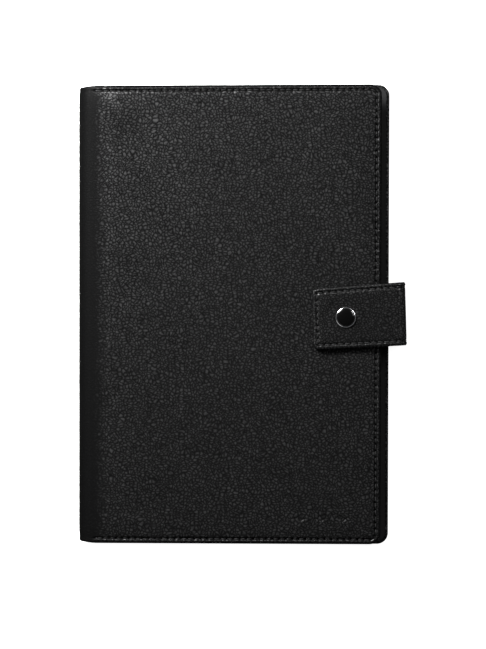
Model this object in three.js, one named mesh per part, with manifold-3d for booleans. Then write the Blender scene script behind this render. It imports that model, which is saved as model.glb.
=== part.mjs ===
// Leather notebook cover with a snap strap, lying closed on its back cover.
// Millimetres, +Z up, +X towards the fore-edge and the strap, +Y towards the head.
import * as THREE from 'three';
import { mergeVertices } from 'three/addons/utils/BufferGeometryUtils.js';
import Module from 'manifold-3d';

const wasm = await Module();
wasm.setup();

// ---------------------------------------------------------------------------
// Driving dimensions
// ---------------------------------------------------------------------------
const coverHeight = 228.4;      // head to tail, at the hinge side
const headFlare = 0.7;          // each end of a panel grows by this towards the fore-edge
const frontWidth = 142.9;       // hinge line to front fore-edge
const backOverhang = 3.9;       // back panel reaches this far past the front one
const foreEdgeLean = 0.4;       // fore-edges lean by this at head and tail
const cornerRadius = 5.5;       // fore-edge corners of both panels
const hingeCornerRadius = 1.2;  // hinge-side corners of both panels
const spineBulge = 7.7;         // hinge line to outermost spine face
const spineInset = 0.8;         // spine is shorter than the panels by this at each end

const leatherThick = 1.2;       // outer hide
const turnInThick = 0.7;        // pared hide turned over the board
const turnInWidth = 7.0;        // how far the hide is turned in
const edgeRound = 0.85;         // roundness of the turned edge
const boardThick = 1.5;         // stiffener board
const paddingThick = 1.0;          // padding under the front hide
const liningThick = 0.65;       // woven lining
const liningInset = 1.5;        // lining stops this far from the edge
const stiffenerThick = 1.0;     // strip inside the spine

const notebookSetback = 7.9;    // back fore-edge to the notebook's fore-edge
const notebookHingeRoom = 6.9;  // hinge line to the notebook's bound edge
const notebookEndRoom = 9.2;    // notebook is shorter than the cover by this at each end
const pageBlockThick = 8.2;
const notebookCardThick = 0.9;  // rear card that slides into the sleeve
const notebookSheetThick = 0.4; // front sheet over the pages
const bindingThick = 0.9;
const notebookCorner = 4.0;

const sleeveReach = 76;         // sleeve sheet, measured back from the fore-edge
const sheetThick = 0.6;         // sleeve sheet
const pocketSheetThick = 0.5;   // slip pocket sheet
const pocketRoom = 0.45;        // free depth inside the slip pocket
const pocketHeight = 142;
const slotSheetThick = 0.4;     // card slot sheet
const slotRoom = 0.35;          // free depth inside a card slot
const slotWidth = 92;
const slotPitch = 24;
const slotCount = 3;
const pocketBorder = 2.6;       // sewn border of every pocket

const strapWidth = 31.6;        // at the fold
const strapTipWidth = 30.4;     // at the free end
const strapLeatherThick = 1.15;
const strapLiningThick = 0.95;
const strapCentreY = -0.2;      // where the strap crosses the back fore-edge
const strapTurn = 1.5;          // degrees, fold lines against the fore-edge
const strapSkew = 2.1;          // degrees, further slant of the strap's long edges
const strapReach = 8.4;         // back fore-edge to the outer face of the strap
const strapBendRadius = 4.2;    // outer radius of both bends
const strapFlatLift = 1.0;      // height of the strap's outer face when it is opened flat
const strapTipReach = 38.0;     // back fore-edge to the free end
const strapRootReach = 12.0;    // tongue sewn inside the back panel
const strapRootThick = 1.35;    // pared tongue
const strapTipRadius = 2.6;
const strapOverFront = 0.9;     // gap under the strap, taken up by the snap

const threadWidth = 0.6;
const threadDepth = 0.45;
const threadInset = 2.1;        // edge to stitch line
const stitchStart = 1.6;        // hinge line to the first stitch
const tabThreadInset = 2.3;
const grooveWidth = 0.84;
const grooveDepth = 0.4;

const snapSetback = 21.65;      // back fore-edge to the snap centre
const snapCapRadius = 5.05;
const snapDomeRadius = 4.56;
const snapDomeRise = 0.85;
const snapSocketRadius = 4.0;
const snapStudRadius = 2.15;
const snapShankRadius = 1.25;

const lozengeLength = 6.4;
const lozengeWidth = 3.6;
const lozengePitch = 10.5;
const lozengeDepth = 0.25;
const lozengeCentre = [39.0, -102.0];

// Clearances
const glueGap = 0.1;            // between glued layers
const layGap = 0.05;            // between layers that lie on one another
const slideGap = 0.6;           // round the notebook's card in its sleeve
const turnedGap = 0.3;          // round anything that sits in the turned strap frame
const holeGap = 0.3;            // radial, round the snap shanks
const hingeGap = 0.15;          // hinge strips stay inside the panels' outer faces

// ---------------------------------------------------------------------------
// Levels and edges worked out from the sizes above
// ---------------------------------------------------------------------------
const backBoardZ = leatherThick + glueGap;
const backTurnInZ = backBoardZ + boardThick + glueGap;
const backTopZ = backTurnInZ + turnInThick;
const backLiningZ = backTopZ + layGap;
const cardZ = backLiningZ + liningThick + glueGap;
const sleeveSheetZ = cardZ + notebookCardThick + glueGap;
const pagesZ = sleeveSheetZ + sheetThick + glueGap;
const frontSheetZ = pagesZ + pageBlockThick + layGap;
const slotsZ = frontSheetZ + notebookSheetThick + 2 * glueGap;
const pocketZ = slotsZ + slotSheetThick + slotRoom + layGap;
const frontLiningZ = pocketZ + pocketSheetThick + pocketRoom + layGap;
const frontTurnInZ = frontLiningZ + liningThick + layGap;
const frontBoardZ = frontTurnInZ + turnInThick + glueGap;
const paddingZ = frontBoardZ + boardThick + glueGap;
const frontLeatherZ = paddingZ + paddingThick + glueGap;
const frontTopZ = frontLeatherZ + leatherThick;

const radians = (degrees) => (degrees * Math.PI) / 180;
const strapThick = strapLeatherThick + layGap + strapLiningThick;
const strapCorner = strapReach + (strapWidth / 2) * Math.sin(radians(strapTurn));
const overallWidth = spineBulge + frontWidth + backOverhang + strapCorner;
const spineFaceX = -overallWidth / 2;
const hingeX = spineFaceX + spineBulge;
const frontEdgeX = hingeX + frontWidth;
const backEdgeX = frontEdgeX + backOverhang;
const halfHeight = coverHeight / 2;
const notebookRight = backEdgeX - notebookSetback;
const notebookLeft = hingeX + notebookHingeRoom;
const notebookHalf = halfHeight - notebookEndRoom;
const spineHalf = halfHeight - spineInset;
const tabBottomZ = frontTopZ + strapOverFront;
const tabTopZ = tabBottomZ + strapThick;
const strapFoldX = strapReach - strapBendRadius;
const snapLocal = [-snapSetback, -snapSetback * Math.tan(radians(strapSkew))];

// ---------------------------------------------------------------------------
// Solid helpers
// ---------------------------------------------------------------------------
function solidOf(geometry) {
  const bare = geometry.index ? geometry.toNonIndexed() : geometry;
  bare.deleteAttribute('normal');
  bare.deleteAttribute('uv');
  const merged = mergeVertices(bare, 1e-4);
  const index = Array.from(merged.index.array);
  const triangles = [];
  for (let i = 0; i < index.length; i += 3) {
    const [a, b, c] = index.slice(i, i + 3);
    if (a !== b && b !== c && c !== a) triangles.push(a, b, c);
  }
  const place = merged.attributes.position;
  if (signedVolume(place, triangles) < 0) triangles.reverse();
  return new wasm.Manifold(new wasm.Mesh({
    numProp: 3,
    vertProperties: new Float32Array(place.array),
    triVerts: new Uint32Array(triangles),
  }));
}

function signedVolume(place, triangles) {
  const corner = [0, 1, 2].map(() => new THREE.Vector3());
  let sum = 0;
  for (let i = 0; i < triangles.length; i += 3) {
    corner.forEach((point, k) => point.fromBufferAttribute(place, triangles[i + k]));
    sum += corner[0].dot(corner[1].clone().cross(corner[2]));
  }
  return sum;
}

// A flat outline raised from z0 to z1; `round` softens both rims.
function slab(outline, z0, z1, round = 0) {
  const shape = new THREE.Shape(outline.map(([x, y]) => new THREE.Vector2(x, y)));
  const settings = { depth: z1 - z0 - 2 * round, bevelEnabled: round > 0, curveSegments: 1 };
  if (round > 0) {
    settings.bevelThickness = round;
    settings.bevelSize = round;
    settings.bevelOffset = -round;
    settings.bevelSegments = 3;
  }
  const geometry = new THREE.ExtrudeGeometry(shape, settings);
  geometry.translate(0, 0, z0 + round);
  return solidOf(geometry);
}

// An x-z profile run along Y from y0 to y1.
function bar(profile, y0, y1) {
  const shape = new THREE.Shape(profile.map(([x, z]) => new THREE.Vector2(x, z)));
  const geometry = new THREE.ExtrudeGeometry(shape, { depth: y1 - y0, bevelEnabled: false });
  geometry.rotateX(Math.PI / 2);
  geometry.translate(0, y1, 0);
  return solidOf(geometry);
}

// A profile of [radius, z] pairs, axis to axis, turned about the vertical.
function turned(profile, steps = 28) {
  const points = profile.map(([radius, z]) => new THREE.Vector2(radius, z));
  const geometry = new THREE.LatheGeometry(points, steps);
  geometry.rotateX(Math.PI / 2);
  geometry.scale(1, -1, 1);
  return solidOf(geometry);
}

const block = (x0, x1, y0, y1, z0, z1) =>
  slab([[x0, y0], [x1, y0], [x1, y1], [x0, y1]], z0, z1);

// Points of one rounded corner, tangent to both sides it joins.
function roundedCorner(before, corner, after, radius, steps = 6) {
  if (radius <= 0.02) return [corner];
  const reach = ([x, y]) => {
    const length = Math.hypot(x - corner[0], y - corner[1]);
    const share = radius / length;
    return [corner[0] + (x - corner[0]) * share, corner[1] + (y - corner[1]) * share];
  };
  const start = reach(before);
  const end = reach(after);
  const centre = [start[0] + end[0] - corner[0], start[1] + end[1] - corner[1]];
  const points = [];
  for (let i = 0; i <= steps; i += 1) {
    const c = Math.cos((i / steps) * (Math.PI / 2));
    const s = Math.sin((i / steps) * (Math.PI / 2));
    points.push([0, 1].map((k) => centre[k] + (start[k] - centre[k]) * c + (end[k] - centre[k]) * s));
  }
  return points;
}

function roundedOutline(corners, radii) {
  const count = corners.length;
  return corners.flatMap((corner, i) =>
    roundedCorner(corners[(i + count - 1) % count], corner, corners[(i + 1) % count], radii[i]));
}

// A band of constant width that follows two of four corners and stays open at the other end.
function openBand(outer, inner, radius, width) {
  const side = (corners, r) => [
    corners[0],
    ...roundedCorner(corners[0], corners[1], corners[2], r),
    ...roundedCorner(corners[1], corners[2], corners[3], r),
    corners[3],
  ];
  return [...side(outer, radius), ...side(inner, Math.max(radius - width, 0.3)).reverse()];
}

// ---------------------------------------------------------------------------
// Outlines of this object
// ---------------------------------------------------------------------------
// Corners run: hinge side head, fore-edge head, fore-edge tail, hinge side tail.
function panelCorners(edgeX, inset = 0, hingeInset = inset) {
  const hingeHalf = halfHeight - inset;
  const foreHalf = halfHeight + headFlare - inset;
  return [
    [hingeX + hingeInset, hingeHalf],
    [edgeX + foreEdgeLean - inset, foreHalf],
    [edgeX - foreEdgeLean - inset, -foreHalf],
    [hingeX + hingeInset, -hingeHalf],
  ];
}

function panelOutline(edgeX, inset = 0, hingeInset = inset) {
  const fore = Math.max(cornerRadius - inset, 0.6);
  const hinge = Math.max(hingeCornerRadius - inset, 0);
  return roundedOutline(panelCorners(edgeX, inset, hingeInset), [hinge, fore, fore, hinge]);
}

// Stitch path round head, fore-edge and tail of a panel.
function panelStitch(edgeX, width) {
  const outerInset = threadInset - width / 2;
  const innerInset = threadInset + width / 2;
  const start = stitchStart + grooveWidth - width;
  return openBand(
    panelCorners(edgeX, outerInset, start),
    panelCorners(edgeX, innerInset, start),
    cornerRadius - outerInset,
    width,
  );
}

// The strap is drawn in its own frame: x out from the back fore-edge, y along it.
const skewed = ([x, y]) => [x, y + x * Math.tan(radians(strapSkew))];

function tabCorners(inset, foldInset = 0) {
  const foldHalf = strapWidth / 2 - inset;
  const tipHalf = strapTipWidth / 2 - inset;
  const tip = -strapTipReach + inset;
  const fold = strapFoldX - foldInset;
  return [[fold, foldHalf], [tip, tipHalf], [tip, -tipHalf], [fold, -foldHalf]].map(skewed);
}

function tabOutline(inset = 0, foldInset = 0) {
  const radius = Math.max(strapTipRadius - inset, 0.4);
  return roundedOutline(tabCorners(inset, foldInset), [0, radius, radius, 0]);
}

const onStrap = (solid) =>
  solid.rotate([0, 0, strapTurn]).translate([backEdgeX, strapCentreY, 0]);

const atSnap = (solid) => onStrap(solid.translate([snapLocal[0], snapLocal[1], 0]));

// ---------------------------------------------------------------------------
// Assembly bookkeeping
// ---------------------------------------------------------------------------
const assembly = new THREE.Group();
assembly.name = 'notebook_cover';

const finishes = {
  hide: [0x232325, 0.55, 0],
  strapHide: [0x222224, 0.5, 0],
  lining: [0x2b2b2e, 0.9, 0],
  board: [0x6b6459, 0.9, 0],
  padding: [0x3a3a3c, 0.95, 0],
  thread: [0x141416, 0.7, 0],
  paper: [0xf1ecdf, 0.85, 0],
  card: [0x8c7a5c, 0.85, 0],
  binding: [0x1d2026, 0.7, 0],
  chrome: [0xdfe1e4, 0.12, 1],
  enamel: [0x0b0b0d, 0.15, 0],
  steel: [0xb4b6b8, 0.3, 1],
};

function piece(name, solid, finish) {
  const [color, roughness, metalness] = finishes[finish];
  const { vertProperties, triVerts } = solid.getMesh();
  const geometry = new THREE.BufferGeometry();
  geometry.setAttribute('position', new THREE.BufferAttribute(vertProperties, 3));
  geometry.setIndex(new THREE.BufferAttribute(triVerts, 1));
  geometry.computeVertexNormals();
  const material = new THREE.MeshStandardMaterial({ color, roughness, metalness });
  const mesh = new THREE.Mesh(geometry, material);
  mesh.name = name;
  assembly.add(mesh);
}

// ---------------------------------------------------------------------------
// Panels
// ---------------------------------------------------------------------------
// Hide wrapped round a board: outer face, three turned edges, turned-in margin, open at the hinge.
function panelHide(edgeX, z0, z1, faceUp) {
  const cavity = faceUp
    ? [z0 + turnInThick, z1 - leatherThick]
    : [z0 + leatherThick, z1 - turnInThick];
  const opening = faceUp ? [z0 - 1, cavity[0] + 0.01] : [cavity[1] - 0.01, z1 + 1];
  return slab(panelOutline(edgeX), z0, z1, edgeRound)
    .subtract(slab(panelOutline(edgeX, leatherThick, -1), ...cavity))
    .subtract(slab(panelOutline(edgeX, turnInWidth, -1), ...opening));
}

const panelFilling = (edgeX, z0, z1) => slab(panelOutline(edgeX, leatherThick + glueGap, 0.4), z0, z1);

const panelLining = (edgeX, z0) => slab(panelOutline(edgeX, liningInset, 0.4), z0, z0 + liningThick);

// A sheet sewn down on three sides, open on the fourth, standing off its backing by `room`.
function sewnPocket(outline, cavity, backingZ, sheetDepth, room, downwards) {
  const [near, far] = downwards
    ? [backingZ - room - sheetDepth, backingZ]
    : [backingZ, backingZ + room + sheetDepth];
  const hollow = downwards
    ? [backingZ - room, backingZ + 1]
    : [backingZ - 1, backingZ + room];
  const [x0, x1, y0, y1] = cavity;
  return slab(outline, near, far).subtract(block(x0, x1, y0, y1, ...hollow));
}

function strapTongue(gap) {
  const half = strapWidth / 2 - 0.3 + gap;
  const z0 = backBoardZ + (boardThick - strapRootThick) / 2 - gap / 4;
  const corners = [
    [-strapRootReach - gap, half], [strapFoldX - 0.1, half],
    [strapFoldX - 0.1, -half], [-strapRootReach - gap, -half],
  ].map(skewed);
  return onStrap(slab(corners, z0, z0 + strapRootThick + gap / 2));
}

function backPanel() {
  const stitch = panelStitch(backEdgeX, grooveWidth);
  const tongueRoom = strapTongue(turnedGap);
  const hide = panelHide(backEdgeX, 0, backTopZ, false)
    .subtract(slab(stitch, -1, grooveDepth))
    .subtract(tongueRoom);
  piece('back_outer_leather', hide, 'hide');
  const board = panelFilling(backEdgeX, backBoardZ, backBoardZ + boardThick);
  piece('back_board', board.subtract(tongueNotch()), 'board');
  piece('strap_root', strapTongue(0), 'strapHide');
  piece('back_lining', panelLining(backEdgeX, backLiningZ), 'lining');
  const thread = slab(panelStitch(backEdgeX, threadWidth), 0.03, grooveDepth - 0.03, 0.1);
  piece('back_thread', thread, 'thread');
}

// The board is cut away fully where the tongue lies, so no thin skin is left above or below it.
function tongueNotch() {
  const half = strapWidth / 2 - 0.3 + turnedGap;
  const corners = [
    [-strapRootReach - turnedGap, half], [strapFoldX, half],
    [strapFoldX, -half], [-strapRootReach - turnedGap, -half],
  ].map(skewed);
  return onStrap(slab(corners, backBoardZ - 1, backBoardZ + boardThick + 1));
}

function backSleeve() {
  const mouthX = backEdgeX - sleeveReach;
  const outline = panelOutline(backEdgeX, liningInset, 0)
    .map(([x, y]) => [Math.max(x, mouthX), y]);
  const base = backLiningZ + liningThick + layGap;
  const room = sleeveSheetZ - base;
  const end = notebookRight + slideGap;
  const half = notebookHalf + slideGap;
  const cavity = [mouthX - 5, end, -half, half];
  piece('back_sleeve', sewnPocket(outline, cavity, base, sheetThick, room, false), 'lining');
  const seam = block(mouthX + 1.2, mouthX + 1.2 + threadWidth, -half + 1, half - 1,
    sleeveSheetZ + sheetThick + 0.01, sleeveSheetZ + sheetThick + glueGap - 0.01);
  piece('sleeve_thread', seam, 'thread');
}

function notebook() {
  const right = notebookRight;
  const left = notebookLeft;
  const half = notebookHalf;
  const sheetOutline = (trim) => roundedOutline(
    [[left, half - trim], [right - trim, half - trim], [right - trim, -half + trim], [left, -half + trim]],
    [0, notebookCorner, notebookCorner, 0],
  );
  piece('notebook_back_card', slab(sheetOutline(0), cardZ, cardZ + notebookCardThick), 'card');
  piece('page_block', slab(sheetOutline(0.8), pagesZ, pagesZ + pageBlockThick), 'paper');
  piece('notebook_front_sheet',
    slab(sheetOutline(0), frontSheetZ, frontSheetZ + notebookSheetThick), 'card');
  const binding = block(left - layGap - bindingThick, left - layGap, -half, half,
    cardZ, frontSheetZ + notebookSheetThick);
  piece('notebook_binding', binding, 'binding');
}

// ---------------------------------------------------------------------------
// Spine and its bending strips
// ---------------------------------------------------------------------------
// A quarter of an elliptical strip about the hinge line; `up` picks the front hinge.
function bendingStrip(reachX, reachZ, thick, up) {
  const centreZ = up ? frontTopZ - spineBulge : spineBulge;
  const from = radians(up ? 91 : 181);
  const to = radians(up ? 179 : 269);
  const steps = 10;
  const arc = (shrink) => Array.from({ length: steps + 1 }, (unused, i) => {
    const angle = from + ((to - from) * i) / steps;
    return [
      hingeX + (reachX - shrink) * Math.cos(angle),
      centreZ + (reachZ - shrink) * Math.sin(angle),
    ];
  });
  return bar([...arc(0), ...arc(thick).reverse()], -spineHalf, spineHalf);
}

function spine() {
  const low = spineBulge + 0.05;
  const high = frontTopZ - spineBulge - 0.05;
  const strip = (depth, thick) =>
    block(spineFaceX + depth, spineFaceX + depth + thick, -spineHalf, spineHalf, low, high);
  const liningDepth = leatherThick + stiffenerThick + 2 * glueGap;
  piece('spine_leather', strip(0, leatherThick), 'hide');
  piece('spine_stiffener', strip(leatherThick + glueGap, stiffenerThick), 'board');
  piece('spine_lining', strip(liningDepth, liningThick), 'lining');
  const reach = spineBulge - hingeGap;
  const liningReach = spineBulge - liningDepth;
  const backLiningReach = spineBulge - backLiningZ;
  const frontLiningReach = spineBulge - (frontTopZ - frontLiningZ - liningThick);
  piece('back_hinge_leather', bendingStrip(reach, reach, leatherThick, false), 'hide');
  piece('back_hinge_lining', bendingStrip(liningReach, backLiningReach, liningThick, false), 'lining');
  piece('front_hinge_leather', bendingStrip(reach, reach, leatherThick, true), 'hide');
  piece('front_hinge_lining', bendingStrip(liningReach, frontLiningReach, liningThick, true), 'lining');
}

// ---------------------------------------------------------------------------
// Front cover with its organiser
// ---------------------------------------------------------------------------
function ornament() {
  const [cx, cy] = lozengeCentre;
  const cuts = [-1, 0, 1].map((k) => {
    const x = cx + k * lozengePitch;
    const outline = [
      [x - lozengeLength / 2, cy], [x, cy - lozengeWidth / 2],
      [x + lozengeLength / 2, cy], [x, cy + lozengeWidth / 2],
    ];
    return slab(outline, frontTopZ - lozengeDepth, frontTopZ + 1);
  });
  return wasm.Manifold.union(cuts);
}

function frontPanel() {
  const shankHole = atSnap(turned([
    [0, frontTurnInZ - 3], [snapShankRadius + holeGap, frontTurnInZ - 3],
    [snapShankRadius + holeGap, frontTopZ + 3], [0, frontTopZ + 3],
  ], 16));
  const hide = panelHide(frontEdgeX, frontTurnInZ, frontTopZ, true)
    .subtract(slab(panelStitch(frontEdgeX, grooveWidth), frontTopZ - grooveDepth, frontTopZ + 1))
    .subtract(ornament())
    .subtract(shankHole);
  piece('front_outer_leather', hide, 'hide');
  const board = panelFilling(frontEdgeX, frontBoardZ, frontBoardZ + boardThick);
  piece('front_board', board.subtract(shankHole), 'board');
  const padding = panelFilling(frontEdgeX, paddingZ, paddingZ + paddingThick);
  piece('front_padding', padding.subtract(shankHole), 'padding');
  piece('front_lining', panelLining(frontEdgeX, frontLiningZ), 'lining');
  const threadZ = frontTopZ - grooveDepth + 0.03;
  const thread = slab(panelStitch(frontEdgeX, threadWidth), threadZ, threadZ + threadDepth, 0.14);
  piece('front_thread', thread, 'thread');
}

function organiser() {
  const left = hingeX + 9;
  const right = frontEdgeX - liningInset - foreEdgeLean - 1;
  const tail = -halfHeight + liningInset + 1;
  const head = tail + pocketHeight;
  const outline = [[left, tail], [right, tail], [right, head], [left, head]];
  const cavity = [left + pocketBorder, right - pocketBorder, tail + pocketBorder, head + 5];
  const backing = frontLiningZ - layGap;
  const pocket = sewnPocket(outline, cavity, backing, pocketSheetThick, pocketRoom, true);
  piece('slip_pocket', pocket, 'lining');

  const slotLeft = (left + right) / 2 - slotWidth / 2;
  const slotRight = slotLeft + slotWidth;
  const slotBacking = pocketZ - layGap;
  for (let i = 0; i < slotCount; i += 1) {
    const y0 = head - 12 - (slotCount - i) * slotPitch;
    const y1 = y0 + slotPitch - 1;
    const rim = [[slotLeft, y0], [slotRight, y0], [slotRight, y1], [slotLeft, y1]];
    const room = [slotLeft + pocketBorder, slotRight - pocketBorder, y0 + pocketBorder, y1 + 5];
    piece(`card_slot_${i + 1}`,
      sewnPocket(rim, room, slotBacking, slotSheetThick, slotRoom, true), 'lining');
  }
}

// ---------------------------------------------------------------------------
// Strap
// ---------------------------------------------------------------------------
// Quarter bend of the strap; `up` picks the bend over the front cover.
function strapBend(up) {
  const centreZ = up ? tabTopZ - strapBendRadius : strapFlatLift + strapBendRadius;
  const from = radians(up ? 1.5 : 271.5);
  const to = radians(up ? 88.5 : 358.5);
  const steps = 8;
  const arc = (radius) => Array.from({ length: steps + 1 }, (unused, i) => {
    const angle = from + ((to - from) * i) / steps;
    return [strapFoldX + radius * Math.cos(angle), centreZ + radius * Math.sin(angle)];
  });
  const half = strapWidth / 2 - 0.1;
  const drift = strapFoldX * Math.tan(radians(strapSkew));
  const ring = [...arc(strapBendRadius), ...arc(strapBendRadius - strapThick).reverse()];
  return onStrap(bar(ring, -half + drift, half + drift));
}

function bridgeLayer(depth, thick) {
  const half = strapWidth / 2;
  const drift = strapFoldX * Math.tan(radians(strapSkew));
  const low = strapFlatLift + strapBendRadius + 0.05;
  const high = tabTopZ - strapBendRadius - 0.05;
  return onStrap(block(strapReach - depth - thick, strapReach - depth,
    -half + drift, half + drift, low, high));
}

function strap() {
  piece('strap_lower_bend', strapBend(false), 'strapHide');
  piece('bridge_leather', bridgeLayer(0, strapLeatherThick), 'strapHide');
  piece('bridge_lining', bridgeLayer(strapLeatherThick + layGap, strapLiningThick), 'lining');
  piece('strap_upper_bend', strapBend(true), 'strapHide');

  const hideZ = tabBottomZ + strapLiningThick + layGap;
  const stitch = (width) => {
    const foldInset = 0.8 + grooveWidth - width;
    return openBand(
      tabCorners(tabThreadInset - width / 2, foldInset),
      tabCorners(tabThreadInset + width / 2, foldInset),
      strapTipRadius - 0.6,
      width,
    );
  };
  const hole = (radius) => turned([
    [0, tabBottomZ - 3], [radius, tabBottomZ - 3], [radius, tabTopZ + 3], [0, tabTopZ + 3],
  ], 20).translate([snapLocal[0], snapLocal[1], 0]);
  const hide = slab(tabOutline(0, 0.1), hideZ, tabTopZ, 0.3)
    .subtract(slab(stitch(grooveWidth), tabTopZ - grooveDepth, tabTopZ + 1))
    .subtract(hole(snapShankRadius + holeGap));
  piece('tab_leather', onStrap(hide), 'strapHide');
  const lining = slab(tabOutline(0.25, 0.1), tabBottomZ, tabBottomZ + strapLiningThick)
    .subtract(hole(snapSocketRadius + 0.15));
  piece('tab_lining', onStrap(lining), 'lining');
  const threadZ = tabTopZ - grooveDepth + 0.03;
  const thread = slab(stitch(threadWidth), threadZ, threadZ + threadDepth, 0.14);
  piece('tab_thread', onStrap(thread), 'thread');
}

// ---------------------------------------------------------------------------
// Snap fastener
// ---------------------------------------------------------------------------
function domeProfile(z0, rim, rise, radius, steps = 6) {
  const points = [[0, z0], [radius, z0], [radius, rim]];
  for (let i = 1; i < steps; i += 1) {
    const angle = (i / steps) * (Math.PI / 2);
    points.push([radius * Math.cos(angle), rim + rise * Math.sin(angle)]);
  }
  points.push([0, rim + rise]);
  return points;
}

function snap() {
  const shank = snapShankRadius;
  const rivetTop = frontTopZ + 0.7;
  const post = turned([
    [0, frontTurnInZ + 0.05], [4.0, frontTurnInZ + 0.05], [4.0, frontTurnInZ + 0.45],
    [3.4, frontBoardZ - glueGap], [shank, frontBoardZ - glueGap], [shank, rivetTop], [0, rivetTop],
  ]);
  piece('snap_post', atSnap(post), 'steel');

  const studZ = frontTopZ + layGap;
  const neck = snapStudRadius - 0.25;
  const stud = turned([
    [0, rivetTop + 0.3], [shank + 0.15, rivetTop + 0.3], [shank + 0.15, studZ], [3.9, studZ],
    [3.9, studZ + 0.25], [neck + 0.1, studZ + 0.45], [neck, studZ + 0.85],
    [snapStudRadius, studZ + 1.15], [snapStudRadius - 0.15, studZ + 1.4],
    [snapStudRadius - 0.8, studZ + 1.55], [0, studZ + 1.55],
  ]);
  piece('snap_stud', atSnap(stud), 'steel');

  const roofZ = tabBottomZ + strapLiningThick;
  const socketZ = frontTopZ + 0.6;
  const bore = snapStudRadius + 0.2;
  const socket = turned([
    [0, roofZ - 0.2], [bore, roofZ - 0.2], [bore, socketZ], [snapSocketRadius - 0.3, socketZ],
    [snapSocketRadius, socketZ + 0.3], [snapSocketRadius, roofZ - 0.3],
    [snapSocketRadius - 0.3, roofZ], [0, roofZ],
  ]);
  piece('snap_socket', atSnap(socket), 'steel');

  const wire = 0.13;
  const ring = new THREE.TorusGeometry((neck + bore) / 2, wire, 6, 28);
  ring.translate(0, 0, studZ + 0.85);
  piece('snap_spring', atSnap(solidOf(ring)), 'steel');

  const seatZ = tabTopZ + layGap;
  const rim = turned([
    [0, roofZ + layGap], [shank, roofZ + layGap], [shank, seatZ], [snapCapRadius - 0.35, seatZ],
    [snapCapRadius, seatZ + 0.3], [snapCapRadius, seatZ + 0.75],
    [(snapCapRadius + snapDomeRadius) / 2 + 0.05, seatZ + 1.0], [snapDomeRadius + 0.05, seatZ + 0.9],
    [snapDomeRadius + 0.05, seatZ + 0.35], [0, seatZ + 0.35],
  ], 36);
  piece('snap_cap_rim', atSnap(rim), 'chrome');
  const dome = turned(domeProfile(seatZ + 0.4, seatZ + 0.85, snapDomeRise, snapDomeRadius), 36);
  piece('snap_cap_dome', atSnap(dome), 'enamel');
}

backPanel();
backSleeve();
notebook();
spine();
frontPanel();
organiser();
strap();
snap();

export default assembly;
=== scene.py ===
# %% [markdown]
# A black leather notebook cover, closed, with a strap that snaps to its front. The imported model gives
# every body, place and size, so this lesson only makes what the eye sees: hide with its grain and
# turned edges, the separate stitches, lining, paper and the snap. Each piece is drawn flat, like a
# pattern on the cutting table, and then bent round the cover as the real hide is.

# %% Load the frame
import math

import bmesh
import bpy
import numpy as np
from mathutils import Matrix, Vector


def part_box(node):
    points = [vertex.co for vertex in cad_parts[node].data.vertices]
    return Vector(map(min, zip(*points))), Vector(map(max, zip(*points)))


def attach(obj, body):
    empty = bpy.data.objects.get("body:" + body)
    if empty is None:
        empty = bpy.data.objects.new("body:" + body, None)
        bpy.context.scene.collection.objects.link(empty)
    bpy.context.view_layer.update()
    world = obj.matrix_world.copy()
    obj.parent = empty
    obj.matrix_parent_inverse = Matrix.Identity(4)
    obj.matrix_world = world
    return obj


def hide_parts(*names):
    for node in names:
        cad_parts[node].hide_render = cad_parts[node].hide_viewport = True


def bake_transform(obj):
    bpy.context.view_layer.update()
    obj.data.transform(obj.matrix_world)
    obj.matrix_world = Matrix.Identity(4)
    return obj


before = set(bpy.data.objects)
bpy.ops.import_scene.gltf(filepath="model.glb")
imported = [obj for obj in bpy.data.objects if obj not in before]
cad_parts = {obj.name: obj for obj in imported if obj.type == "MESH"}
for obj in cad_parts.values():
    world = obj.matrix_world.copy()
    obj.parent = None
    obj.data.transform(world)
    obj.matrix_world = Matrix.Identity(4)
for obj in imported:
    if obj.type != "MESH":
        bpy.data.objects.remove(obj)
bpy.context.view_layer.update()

MM = 0.001


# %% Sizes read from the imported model, in millimetres
def node_box(node):
    """Lowest and highest corner of a node, in millimetres."""
    low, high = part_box(node)
    return np.array(low) / MM, np.array(high) / MM


front_low, front_high = node_box("front_outer_leather")
back_low, back_high = node_box("back_outer_leather")

FORE_LEAN = 0.4            # fore-edges lean by this at head and tail
HEAD_FLARE = 0.7           # panels grow by this towards the fore-edge
FORE_RADIUS = 5.5          # corners at the fore-edge
FORE_RADII = [0, FORE_RADIUS, FORE_RADIUS, 0]
LEATHER = 1.2              # thickness of the hide
TURN_IN = 0.7              # thickness of its margin, pared thin before it is turned in
UNDER_BACK = 0.2           # room that the back hide's swell takes below its flat

hinge_x = front_low[0]
front_edge = front_high[0] - FORE_LEAN
back_edge = back_high[0] - FORE_LEAN
half_height = front_high[1] - HEAD_FLARE
front_face_z = front_high[2]
front_inner_z = front_low[2]
back_face_z = back_low[2] + UNDER_BACK
back_inner_z = back_high[2]
spine_x = node_box("spine_leather")[0][0]
tab_top = node_box("tab_leather")[1][2]
print(f"hinge at {hinge_x:.2f}, fore-edges at {front_edge:.2f} and {back_edge:.2f} mm")

# %% [markdown]
# The camera looks straight down at the closed cover. It could stand close by with a short lens, but
# then the sides would show and the outline would taper. From far away, through a long lens, the
# edges stay parallel.

# %% Camera
VIEW_WIDTH = 242.6         # millimetres of the front cover's plane across the picture
CAMERA_HEIGHT = 8000.0
SENSOR = 36.0
AIM = (-0.05, -5.1)        # point of the cover in the middle of the view
FAR_LIMIT = 20.0           # metres

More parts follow.
